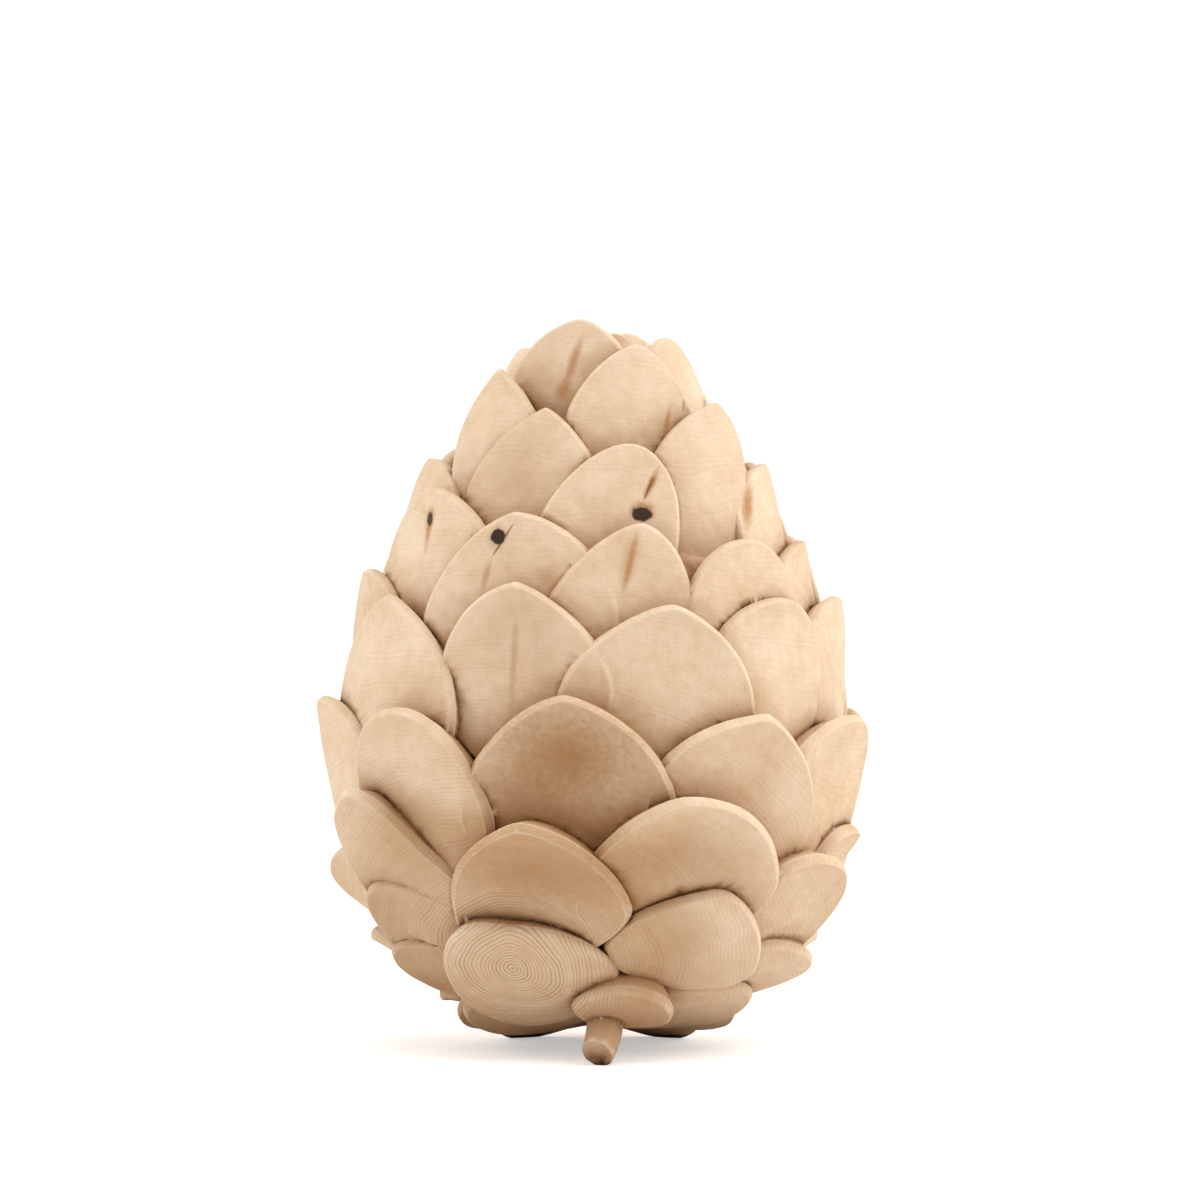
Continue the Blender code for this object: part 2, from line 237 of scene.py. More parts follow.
def scale_rows() -> list[Scale]:
    """All scales, front rows listed one by one and the even rows behind.

    The measures of a front scale are, in order, its azimuth, station, half width, tip, root,
    roll, point, flare, lift, hollow, skew and tilt.

    Returns:
        The scales, from the crown down.
    """
    soft, eased, crisp = RimCut.ROUNDED, RimCut.EASED, RimCut.CRISP
    crown = [(-17, 220.5, 16, 20, 22, 2, 1.3, 34, 1, -0.6, 2),
             (56, 219.5, 13.5, 17, 22, 2, 1.3, 27, 1, -0.6), (146, 233, 11, 11, 20, 0, 1.2, 32, 1, -0.4),
             (-112, 224, 13, 13, 24, 0, 1.4, 27, 1, -0.4), (42, 241, 9, 8, 18, 0, 1.2, 44, -4, -0.4),
             (-160, 238, 10, 9, 18, 0, 1.3, 40, -3, -0.4), (-72, 241, 9, 8, 18, 0, 1.2, 40, -5, -0.4),
             (102, 243, 9, 8, 18, 0, 1.2, 40, -5, -0.4)]
    shoulder = [(-41, 195, 14.5, 28, 24, -6, 1.85, 22, 0.5, -0.4, -1),
                (15, 204, 17.5, 25.5, 28, 0, 1.5, 25, 1, -0.8, 3)]
    row_f = [(-66, 176, 14, 26, 20, -28, 1.55, 9, 0, -0.3, -1),
             (-22, 181, 20, 29.5, 22, 4, 1.7, 13, -0.5, 0.4, -1),
             (3, 170, 18, 28.5, 18, 13, 1.15, 13, 0.5, 0.5, 2, 5),
             (35.5, 186, 14, 26.5, 32, 11, 1.5, 20, 1.5, -1.2, 4.5),
             (62, 180, 12, 17, 24, 5, 1.7, 12, 1, -0.3, 9)]
    row_e = [(-71, 142, 16, 26, 24, -24, 1.65, 11, 0.5, 0, -2.5),
             (-52.5, 163, 21.5, 24, 26, -5.5, 1.3, 12, 0.5, -0.5, -2),
             (-20.5, 148, 27, 29.5, 22, -7, 1.5, 11, 0, 0.3, 1.5),
             (5.5, 144, 19, 30.5, 18, 4.5, 1.3, 12, 0, 0, 4.5, 3),
             (40, 148, 19, 22.5, 24, 2, 1.05, 13, 1, -0.6, 2.5),
             (71, 161, 13, 13, 24, 4, 1.75, 8, 1, 0, 7.5)]
    row_d = [(-56, 123, 27, 33, 22, 2, 1.35, 6, 1.5, 0.3, -4.5),
             (-17, 132, 23.5, 24.5, 24, 7, 1.5, 12, 1.5, 0.8, -4.5),
             (14.5, 123, 25.5, 28, 22, 7, 1.4, 11, 1.5, 1), (45, 134, 20, 21, 26, 5, 1.1, 12, 0.5, 0, 4),
             (74, 136, 18, 23, 26, 16, 1.7, 11, 1, 0.3, 4)]
    row_c = [(-74, 103, 18.5, 30, 22, -24, 1.6, 10, 0.5, 1, 0.5),
             (-41.5, 95, 20.5, 31, 20, -6, 0.85, 10, 2, 1.4, -1),
             (-6, 95, 28, 33, 20, 4, 1.45, 11, 0, 3.2, -2),
             (32, 95.5, 25.5, 29, 20, 10, 1.45, 11, 0, 2, 0.7),
             (64.5, 101.5, 22, 24, 24, 11, 1.25, 11, 0.5, 1.2, 3)]
    row_b = [(-48, 77, 14, 29.5, 22, -43, 0.8, 12, 2, 0.8, 10),
             (-15, 68, 23, 31.5, 13.5, -4, 1.4, 11, 0.5, 2.6, 2.4, -1),
             (21, 75, 27, 30.5, 16, -12, 1.3, 12, 0.5, 2.2, 0.6, -5),
             (56, 67.5, 18, 22, 20, 34, 1.1, 12, 1, 1, -5), (80, 79, 17, 17, 20, 12, 1.05, 6, -1.5, 1)]
    rosette = [(-75, 80, 9, 17, 18, -62, 1, 12, 0.5, 0.5, -3),
               (-50, 63, 14, 18.5, 20, -64, 1.05, 12, 0.5, 0.6, 8),
               (-50, 48, 12, 19, 19, -70, 1, 12, -0.5, 0.4, 6),
               (-26, 49.5, 19.5, 17, 26, -80, 0.85, 9, 3.5, -0.8, 5),
               (-36, 25.5, 13, 17.5, 19, -94, 0.85, 12, 0, 0.2, 6),
               (9, 41.5, 8, 12.5, 12, 84, 0.85, 4, 6, -0.5),
               (32, 62.5, 15.5, 13, 27, 73, 0.9, 11, 2.5, 0.5, 4.5),
               (44, 29, 14, 18.5, 18, 83, 0.95, 5, 1, -0.4, -8),
               (59, 49, 12, 20, 20, 54, 1.1, 13, 0.5, 0.2, 1)]
    underside = [(-75, 22, 14, 18, 20, -60, 1.1, 10, 0.5, 0.4),
                 (72, 22, 14, 18, 20, 60, 1.1, 10, 0.5, 0.4), (148, 22, 15, 17, 19, 0, 1.1, 22, 2.8, 0.4),
                 (212, 22, 15, 17, 19, 0, 1.1, 22, 2.8, 0.4), (180, 4, 14, 15, 17, 0, 1.1, 8, -3.5, 0.4)]
    styles = [(crown, 1.0, soft), (shoulder, 1.2, soft), (row_f, 1.6, soft), (row_e, 2.2, eased),
              (row_d, 2.9, eased), (row_c, 3.8, crisp), (row_b, 3.4, crisp), (rosette, 1.8, eased),
              (underside, 1.6, eased)]
    scales = [Scale(*values, curl=curl, rim=rim) for row, curl, rim in styles for values in row]
    back = [(97, 247, 4, 208, 14, 18, 26, -0.8, 1, soft), (102, 246, 4, 183, 19, 19, 26, -0.3, 1.4, soft),
            (106, 246, 4, 158, 22, 22, 28, 0, 1.8, eased), (112, 256, 4, 133, 24, 24, 27, 0.3, 2.2, eased),
            (104, 244, 4, 107, 26, 24, 27, 1.2, 3.2, crisp), (118, 244, 4, 82, 24, 22, 24, 1.4, 3.2, crisp),
            (108, 256, 5, 57, 18, 15, 22, 1, 2, eased), (112, 248, 5, 36, 15, 12, 19, 1, 1.6, eased)]
    stagger = 3.0
    for first, last, count, station, half_width, tip, root, hollow, curl, rim in back:
        for i in range(count):
            scales.append(Scale(
                first + (last - first) * i / (count - 1), station + (stagger if i % 2 else -stagger),
                half_width, tip, root, point=1.2, flare=8.0, lift=0.5, hollow=hollow, curl=curl, rim=rim))
    return scales


def new_mesh(name: str, vertices: Iterable[Sequence[float]], faces: Sequence[Sequence[int]],
             collection: bpy.types.Collection | None = None) -> bpy.types.Object:
    """Make a mesh object from points in millimetres, with its faces turned outward.

    Args:
        name: the object's name.
        vertices: points in millimetres.
        faces: vertex numbers of each face.
        collection: where it goes, or None for the scene's own collection.

    Returns:
        The object.
    """
    mesh = bpy.data.meshes.new(name)
    mesh.from_pydata([tuple(float(c) * MM for c in v) for v in vertices], [], faces)
    shape = bmesh.new()
    shape.from_mesh(mesh)
    bmesh.ops.recalc_face_normals(shape, faces=shape.faces)
    shape.to_mesh(mesh)
    shape.free()
    item = bpy.data.objects.new(name, mesh)
    (collection or bpy.context.scene.collection).objects.link(item)
    return item


def slab_below(name: str, half: float, depth: float,
               collection: bpy.types.Collection | None = None) -> bpy.types.Object:
    """Make a square slab whose top lies in the floor's plane.

    Args:
        name: the object's name.
        half: half of its side in millimetres.
        depth: its thickness in millimetres.
        collection: where it goes, or None for the scene's own collection.

    Returns:
        The slab.
    """
    corners = [(x, y, z) for x in (-half, half) for y in (-half, half) for z in (-depth, 0.0)]
    sides = [(0, 1, 3, 2), (4, 6, 7, 5), (0, 4, 5, 1), (2, 3, 7, 6), (0, 2, 6, 4), (1, 5, 7, 3)]
    return new_mesh(name, corners, sides, collection)


def settle(item: bpy.types.Object) -> bpy.types.Mesh:
    """Give an object its evaluated mesh and take its modifiers off.

    Args:
        item: the object.

    Returns:
        Its new plain mesh.
    """
    graph = bpy.context.evaluated_depsgraph_get()
    graph.update()
    mesh = bpy.data.meshes.new_from_object(item.evaluated_get(graph))
    item.modifiers.clear()
    item.data = mesh
    return mesh


def numbers(items: Any, name: str, width: int, kind: type = np.float32) -> np.ndarray:
    """Read one property of all of a mesh's vertices or edges.

    Args:
        items: the vertices or edges.
        name: the property.
        width: how many numbers it has for each.
        kind: their type.

    Returns:
        A table with one row for each.
    """
    values = np.empty(len(items) * width, dtype=kind)
    items.foreach_get(name, values)
    return values.reshape(-1, width)


@dataclass
class ScaleCarver:
    """Carves every scale by bending one round leaf to the measures at its place."""

    envelope: Envelope = field(default_factory=Envelope)
    stance: Stance = field(default_factory=Stance)
    segments: int = 56
    rings: int = 24
    root_curve: float = 1.2
    root_depth: float = 13.0
    root_share: float = 0.70
    long_bend: float = 115.0
    cross_bend: float = 1.6
    least_bend: float = 25.0
    drawn_spread: float = 1.1
    waver: float = 0.014
    crowding: float = 1.6

    def places(self, scales: list[Scale]) -> bpy.types.Object:
        """Make the mesh of points that carries the measures of each scale.

        Args:
            scales: the scales to carve.

        Returns:
            An object with one vertex for a scale.
        """
        turn_step = 2.4
        rows: dict[str, list[Any]] = {}
        for number, scale in enumerate(scales):
            point, outward, upward, right = self.envelope.frame(scale.azimuth, scale.station)
            roll, flare = math.radians(scale.roll), math.radians(scale.flare)
            along = upward * math.cos(roll) + right * math.sin(roll)
            across = right * math.cos(roll) - upward * math.sin(roll)
            normal = outward * math.cos(flare) - along * math.sin(flare)
            along = along * math.cos(flare) + outward * math.sin(flare)
            c, s = math.cos(math.radians(scale.tilt)), math.sin(math.radians(scale.tilt))
            across, normal = across * c - normal * s, normal * c + across * s
            band, depth, soft = scale.rim.value
            inset = band - self.drawn_spread
            reach = max(math.hypot(point[0], point[1]), self.least_bend)
            measures = {
                "middle": self.stance.put(point + outward * scale.lift),
                "across": self.stance.turn(across), "along": self.stance.turn(along),
                "normal": self.stance.turn(normal), "half_width": scale.half_width - inset,
                "tip": scale.tip - inset, "root": scale.root, "point": scale.point,
                "hollow": scale.hollow, "skew": scale.skew, "curl": scale.curl,
                "bend": reach * self.cross_bend, "band": band, "depth": depth, "soft": soft,
                "phase": turn_step * number}
            for name, value in measures.items():
                rows.setdefault(name, []).append(value)
        mesh = bpy.data.meshes.new("scale_places")
        mesh.from_pydata([tuple(p * MM) for p in rows["middle"]], [], [])
        for name, values in rows.items():
            array = np.array(values, dtype=np.float32)
            if array.ndim == 2:
                layer = mesh.attributes.new(name, "FLOAT_VECTOR", "POINT")
                layer.data.foreach_set("vector", array.ravel())
            else:
                layer = mesh.attributes.new(name, "FLOAT", "POINT")
                layer.data.foreach_set("value", array)
        item = bpy.data.objects.new("scale_places", mesh)
        bpy.context.scene.collection.objects.link(item)
        return item

    def tree(self) -> bpy.types.NodeTree:
        """Build the nodes that bend a leaf into a scale at every place.

        Returns:
            The node tree; its places come in as a mesh of points.
        """
        face_end, rim_end, root_end = 0.5, 17.0 / 24.0, 22.0 / 24.0
        t = bpy.data.node_groups.new("scale_carver", "GeometryNodeTree")
        face = t.interface
        face.new_socket("Places", in_out="INPUT", socket_type="NodeSocketGeometry")
        for kind, names in (("Int", ("Segments", "Rings")),
                            ("Float", ("Root curve", "Root depth", "Root share", "Long bend",
                                       "Waver", "Crowding")), ("Material", ("Wood",))):
            for name in names:
                face.new_socket(name, in_out="INPUT", socket_type="NodeSocket" + kind)
        face.new_socket("Scales", in_out="OUTPUT", socket_type="NodeSocketGeometry")
        size = add(t, "NodeGroupInput").outputs

        def own(name: str, vector: bool = False) -> Any:
            """Read one of the scale's own measures."""
            kind = "FLOAT_VECTOR" if vector else "FLOAT"
            return add(t, NAMED, {"Name": name}, data_type=kind).outputs["Attribute"]

        leaf = add(t, "GeometryNodeMeshUVSphere", (size["Segments"], size["Rings"], 1.0))
        marked = add(t, STORE, {"Geometry": leaf, "Name": "unit",
                                "Value": add(t, "GeometryNodeInputPosition")},
                     data_type="FLOAT_VECTOR", domain="POINT")
        spread = add(t, "GeometryNodeInstanceOnPoints", {"Points": size["Places"], "Instance": marked})
        real = add(t, "GeometryNodeRealizeInstances", {"Geometry": spread})

        # Where a point is on the leaf: s from the face's middle to the root, turn about it.
        unit = add(t, "ShaderNodeSeparateXYZ", (own("unit", True),))
        s = add(t, MATH, (add(t, MATH, (unit.outputs[2],), operation="ARCCOSINE"), math.pi),
                operation="DIVIDE")
        flat = add(t, "ShaderNodeCombineXYZ", (unit.outputs[0], unit.outputs[1], 0.0))
        turn = add(t, "ShaderNodeSeparateXYZ", (add(t, VECTOR, (flat,), operation="NORMALIZE"),))
        c, r = turn.outputs[0], turn.outputs[1]
        upper = add(t, MATH, (r, -0.0001), operation="GREATER_THAN")
        curve = add(t, MIX, {0: upper, 2: size["Root curve"], 3: own("point")}).outputs[0]
        reach = add(t, MIX, {0: upper, 2: own("root"), 3: own("tip")}).outputs[0]
        width = add(t, MATH, (add(t, MATH, (c,), operation="ABSOLUTE"), curve), operation="POWER")
        side = add(t, MATH, (width, add(t, MATH, (c,), operation="SIGN")), operation="MULTIPLY")
        angle = add(t, MATH, (r, c), operation="ARCTAN2")
        hand: Any = 0.0
        for lobes, share in ((3.0, 1.0), (5.0, 0.6)):
            wave = add(t, MATH, (angle, lobes, own("phase")), operation="MULTIPLY_ADD")
            wave = add(t, MATH, (wave,), operation="SINE")
            hand = add(t, MATH, (wave, share, hand), operation="MULTIPLY_ADD")
        hand = add(t, MATH, (hand, size["Waver"], 1.0), operation="MULTIPLY_ADD")
        ox = add(t, MATH, (side, own("half_width")), operation="MULTIPLY")
        lean = add(t, MATH, (add(t, MATH, (r, 0.0), operation="MAXIMUM"), 1.5), operation="POWER")
        ox = add(t, MATH, (lean, own("skew"), add(t, MATH, (ox, hand), operation="MULTIPLY")),
                 operation="MULTIPLY_ADD")
        oy = add(t, MATH, (add(t, MATH, (r, reach), operation="MULTIPLY"), hand), operation="MULTIPLY")

        # The face: bent both ways, dished, its tip curled outward.
        k = add(t, RANGE, {0: s, 1: 0.0, 2: face_end, 3: 1.0, 4: 0.0})
        k = add(t, MATH, (k, size["Crowding"]), operation="POWER")
        share = add(t, MATH, (1.0, k), operation="SUBTRACT")
        px = add(t, MATH, (ox, share), operation="MULTIPLY")
        py = add(t, MATH, (oy, share), operation="MULTIPLY")
        height: Any = 0.0
        for way, bend in ((px, own("bend")), (py, size["Long bend"])):
            sag = add(t, MATH, (add(t, MATH, (way, way), operation="MULTIPLY"), bend),
                      operation="DIVIDE")
            height = add(t, MATH, (sag, -0.5, height), operation="MULTIPLY_ADD")
        near_tip = add(t, MATH, (py, own("tip")), operation="DIVIDE", use_clamp=True)
        lifted = add(t, MATH, (near_tip, 2.6), operation="POWER")
        dish = add(t, MATH, (add(t, MATH, (share, share), operation="MULTIPLY"), 1.0),
                   operation="SUBTRACT")
        height = add(t, MATH, (lifted, own("curl"), height), operation="MULTIPLY_ADD")
        height = add(t, MATH, (dish, own("hollow"), height), operation="MULTIPLY_ADD")
        across, along, normal, middle = (
            own(name, True) for name in ("across", "along", "normal", "middle"))
        place = middle
        for way, length in ((across, px), (along, py), (normal, height)):
            step = add(t, VECTOR, {0: way, 3: length}, operation="SCALE")
            place = add(t, VECTOR, (place, step), operation="ADD")

        # The rim: a bevel that runs outward and down from the face's edge.
        u = add(t, RANGE, {0: s, 1: face_end, 2: rim_end, 3: 0.0, 4: 1.0},
                interpolation_type="SMOOTHSTEP")
        quarter = add(t, MATH, (u, math.pi / 2.0), operation="MULTIPLY")
        round_out = add(t, MATH, (quarter,), operation="SINE")
        round_down = add(t, MATH, (1.0, add(t, MATH, (quarter,), operation="COSINE")),
                         operation="SUBTRACT")
        out = add(t, MIX, {0: own("soft"), 2: u, 3: round_out}).outputs[0]
        down = add(t, MIX, {0: own("soft"), 2: u, 3: round_down}).outputs[0]
        ray = add(t, VECTOR, (add(t, VECTOR, {0: across, 3: ox}, operation="SCALE"),
                              add(t, VECTOR, {0: along, 3: oy}, operation="SCALE")), operation="ADD")
        ray = add(t, VECTOR, (ray,), operation="NORMALIZE")
        out = add(t, MATH, (out, own("band")), operation="MULTIPLY")
        down = add(t, MATH, (down, own("depth")), operation="MULTIPLY")
        edge = add(t, VECTOR, (place, add(t, VECTOR, {0: ray, 3: out}, operation="SCALE")),
                   operation="ADD")
        edge = add(t, VECTOR, (edge, add(t, VECTOR, {0: normal, 3: down}, operation="SCALE")),
                   operation="SUBTRACT")

        # The root: a wedge into the core, closed by a cap.
        deep = add(t, VECTOR, {0: normal, 3: size["Root depth"]}, operation="SCALE")
        deep = add(t, VECTOR, (middle, deep), operation="SUBTRACT")
        foot = add(t, VECTOR, (edge, middle), operation="SUBTRACT")
        foot = add(t, VECTOR, {0: foot, 3: size["Root share"]}, operation="SCALE")
        foot = add(t, VECTOR, (foot, deep), operation="ADD")
        v = add(t, RANGE, {0: s, 1: rim_end, 2: root_end, 3: 0.0, 4: 1.0})
        v = add(t, MATH, (v, 1.4), operation="POWER")
        wedge = add(t, MIX, {0: v, 4: edge, 5: foot}, data_type="VECTOR").outputs[1]
        w = add(t, RANGE, {0: s, 1: root_end, 2: 1.0, 3: 0.0, 4: 1.0})
        whole = add(t, MIX, {0: w, 4: wedge, 5: deep}, data_type="VECTOR").outputs[1]
        metres = add(t, VECTOR, {0: whole, 3: MM}, operation="SCALE")
        moved = add(t, "GeometryNodeSetPosition", {"Geometry": real, "Position": metres})
        dressed = add(t, "GeometryNodeSetMaterial", {"Geometry": moved, "Material": size["Wood"]})
        add(t, "NodeGroupOutput", (dressed,))
        return t

    def carve(self, scales: list[Scale], wood: bpy.types.Material,
              collection: bpy.types.Collection) -> int:
        """Carve the scales as closed shells, one object for each.

        Args:
            scales: the scales to carve.
            wood: their finish.
            collection: where the shells go.

        Returns:
            The number of shells.
        """
        item = self.places(scales)
        tree = self.tree()
        modifier = item.modifiers.new("scales", "NODES")
        modifier.node_group = tree
        values = {"Segments": self.segments, "Rings": self.rings, "Root curve": self.root_curve,
                  "Root depth": self.root_depth, "Root share": self.root_share,
                  "Long bend": self.long_bend, "Waver": self.waver, "Crowding": self.crowding,
                  "Wood": wood}
        for socket in tree.interface.items_tree:
            if socket.name in values:
                modifier[socket.identifier] = values[socket.name]
        mesh = settle(item)
        points = numbers(mesh.vertices, "co", 3).reshape(len(scales), -1, 3)
        size = points.shape[1]
        faces = [tuple(p.vertices) for p in mesh.polygons if max(p.vertices) < size]
        pattern = bpy.data.meshes.new("scale_pattern")
        pattern.from_pydata([tuple(p) for p in points[0].tolist()], [], faces)
        for number, shell in enumerate(points):
            one = pattern.copy()
            one.vertices.foreach_set("co", shell.ravel())
            piece = bpy.data.objects.new(f"scale_{number:02d}", one)
            collection.objects.link(piece)
        bpy.data.objects.remove(item)
        return len(points)


@dataclass
class CoreBody:
    """The uncut egg left under the scales."""

    envelope: Envelope = field(default_factory=Envelope)
    stance: Stance = field(default_factory=Stance)
    depth: float = 4.5
    sides: int = 96
    steps: int = 60

    def build(self) -> bpy.types.Object:
        """Turn the egg as one closed mesh."""
        radii, heights, stations = self.envelope.meridian()
        middle, half = (heights[0] + heights[-1]) / 2.0, (heights[-1] - heights[0]) / 2.0
        squeeze = 1.0 - self.depth / half
        cuts = np.linspace(0.0, stations[-1], self.steps + 1)[1:-1]
        ring_radii = np.interp(cuts, stations, radii) * (1.0 - self.depth / self.envelope.belly_radius)
        ring_heights = middle + (np.interp(cuts, stations, heights) - middle) * squeeze
        turn = 2.0 * math.pi * np.arange(self.sides) / self.sides
        points = [(0.0, 0.0, middle - half * squeeze)]
        for radius, height in zip(ring_radii, ring_heights):
            points += [(radius * math.sin(a), -radius * math.cos(a), height) for a in turn]
        points.append((0.0, 0.0, middle + half * squeeze))
        n, top = self.sides, len(points) - 1
        last = 1 + (len(cuts) - 1) * n
        faces: list[tuple[int, ...]] = []
        for i in range(n):
            j = (i + 1) % n
            faces += [(0, 1 + j, 1 + i), (top, last + i, last + j)]
            for level in range(len(cuts) - 1):
                a, b = 1 + level * n, 1 + (level + 1) * n
                faces.append((a + i, a + j, b + j, b + i))
        return new_mesh("carved_pine_cone", self.stance.put(np.array(points)), faces)


@dataclass
class StemStub:
    """The short bent stem, cut across its end."""

    radius: float = 4.3
    end: tuple[float, float] = (0.3, -44.5)
    droop: float = math.radians(32.0)
    turn: float = math.radians(-24.0)
    length: float = 24.0
    sink: float = 0.45
    sides: int = 48
    stance: Stance = field(default_factory=Stance)

    def build(self, collection: bpy.types.Collection) -> bpy.types.Object:
        """Make the stub as a closed bent tube, faceted by the knife and eased at its end."""
        ahead = np.array([math.sin(self.turn), -math.cos(self.turn), 0.0])
        facing = ahead * math.cos(self.droop) - np.array([0.0, 0.0, math.sin(self.droop)])
        side = np.array([math.cos(self.turn), math.sin(self.turn), 0.0])
        up = np.cross(facing, side)
        place = self.stance.place
        centre = np.array([self.end[0] + place[0], self.end[1] + place[1],
                           self.radius * math.cos(self.droop) - self.sink])
        bend = np.array([-0.35, 0.0, 0.35])
        stations = ((0.0, 0.90), (0.15, 0.96), (0.5, 1.0), (2.0, 1.02), (4.0, 1.05), (7.0, 1.08),
                    (10.0, 1.13), (14.0, 1.22), (19.0, 1.31), (24.0, 1.4))
        points = []
        for distance, girth in stations:
            middle = centre - facing * distance + bend * distance * distance / self.length
            for i in range(self.sides):
                a = 2.0 * math.pi * i / self.sides
                facet = (1.0 + 0.025 * math.cos(7.0 * a + 0.05 * distance)
                         + 0.02 * math.cos(2.0 * a + 0.8))
                points.append(middle + self.radius * girth * facet
                              * (side * math.cos(a) + up * math.sin(a)))
        n, last = self.sides, (len(stations) - 1) * self.sides
        faces: list[tuple[int, ...]] = [tuple(range(n)), tuple(reversed(range(last, last + n)))]
        for level in range(len(stations) - 1):
            a, b = level * n, (level + 1) * n
            faces += [(a + i, a + (i + 1) % n, b + (i + 1) % n, b + i) for i in range(n)]
        return new_mesh("stem", points, faces, collection)


class Stain(Enum):
    """Kinds of mark in the wood: colour and how softly it ends; the heart marks also paint shade."""

    KNOT = ("#3b2a1d", 0.25)
    HALO = ("#a2683a", 0.75)
    RESIN = ("#b07a48", 0.85)
    CRACK = ("#55351f", 0.5)
    HEART = ("#9c6c38", 1.05)


@dataclass(frozen=True)
class Mark:
    """One mark in the wood: centre, half-lengths across, deep and along, degrees turned."""

    kind: Stain
    centre: Point
    reach: Point
    turn: float = 0.0
    strength: float = 1.0


MARKS = (
    # Heartwood tan, partly painted shade on the front faces and the underside, then resin
    # streaks and cracks, then knots over their halos.
    Mark(Stain.HEART, (-6.0, -66.0, 82.0), (36.0, 30.0, 25.0), 0.0, 0.85),
    Mark(Stain.HEART, (-16.0, -66.0, 50.0), (34.0, 26.0, 19.0), 0.0, 0.6),
    Mark(Stain.HEART, (22.0, -62.0, 56.0), (32.0, 26.0, 20.0), 0.0, 0.55),
    Mark(Stain.HEART, (-16.0, -50.0, 110.0), (22.0, 20.0, 18.0), 0.0, 0.3),
    Mark(Stain.HEART, (-20.0, -30.0, 156.0), (20.0, 20.0, 19.0), 0.0, 0.35),
    Mark(Stain.HEART, (-44.0, -28.0, 17.0), (18.0, 22.0, 9.0), 0.0, 0.6),
    Mark(Stain.RESIN, (-5.4, -14.0, 184.5), (1.9, 7.0, 11.0), 18.0, 0.7),
    Mark(Stain.RESIN, (-8.0, -16.0, 177.0), (3.2, 6.0, 4.5), 20.0, 0.7),
    Mark(Stain.RESIN, (19.6, -24.0, 168.5), (1.2, 8.0, 8.0), 12.0, 0.77),
    Mark(Stain.CRACK, (24.0, -18.0, 173.0), (0.5, 5.0, 2.2), 0.0, 0.4),
    Mark(Stain.RESIN, (41.0, -20.0, 146.0), (2.2, 14.0, 9.0), 5.0, 0.84),
    Mark(Stain.RESIN, (-12.3, -51.0, 128.5), (4.0, 6.0, 5.5), 35.0, 0.31),
    Mark(Stain.RESIN, (-20.6, -58.0, 106.0), (1.5, 8.0, 17.0), 3.0, 0.42),
    Mark(Stain.RESIN, (15.2, -39.0, 152.0), (1.4, 6.0, 6.5), 25.0, 1.0),
    Mark(Stain.CRACK, (14.6, -39.5, 151.0), (0.4, 6.0, 4.5), 22.0, 0.6),
    Mark(Stain.RESIN, (9.5, -51.5, 131.0), (1.3, 8.0, 11.5), 13.0, 0.7),
    Mark(Stain.RESIN, (9.5, -51.5, 132.0), (3.0, 9.0, 11.0), 13.0, 0.42),
    Mark(Stain.RESIN, (-28.0, -45.0, 128.0), (1.3, 6.0, 5.5), 14.0, 0.56),
    Mark(Stain.RESIN, (-43.6, -24.5, 140.0), (1.0, 6.0, 9.0), 8.0, 0.7),
    Mark(Stain.CRACK, (-23.6, -44.5, 137.4), (0.4, 6.0, 6.5), 33.0, 0.8),
    Mark(Stain.HALO, (-24.9, -43.8, 138.2), (3.4, 8.0, 4.4), 20.0, 0.5),
    Mark(Stain.HALO, (12.8, -42.0, 144.8), (4.4, 8.0, 3.6), 0.0, 0.9),
    Mark(Stain.HALO, (-43.3, -23.3, 142.8), (1.8, 6.0, 4.5), 5.0, 0.5),
    Mark(Stain.KNOT, (-24.9, -43.8, 138.2), (2.2, 6.0, 2.4), 10.0, 1.0),
    Mark(Stain.KNOT, (12.8, -42.0, 144.0), (3.0, 6.0, 2.2), 0.0, 1.0),
    Mark(Stain.KNOT, (-43.3, -23.3, 142.8), (0.9, 6.0, 2.1), 5.0, 0.9),
)


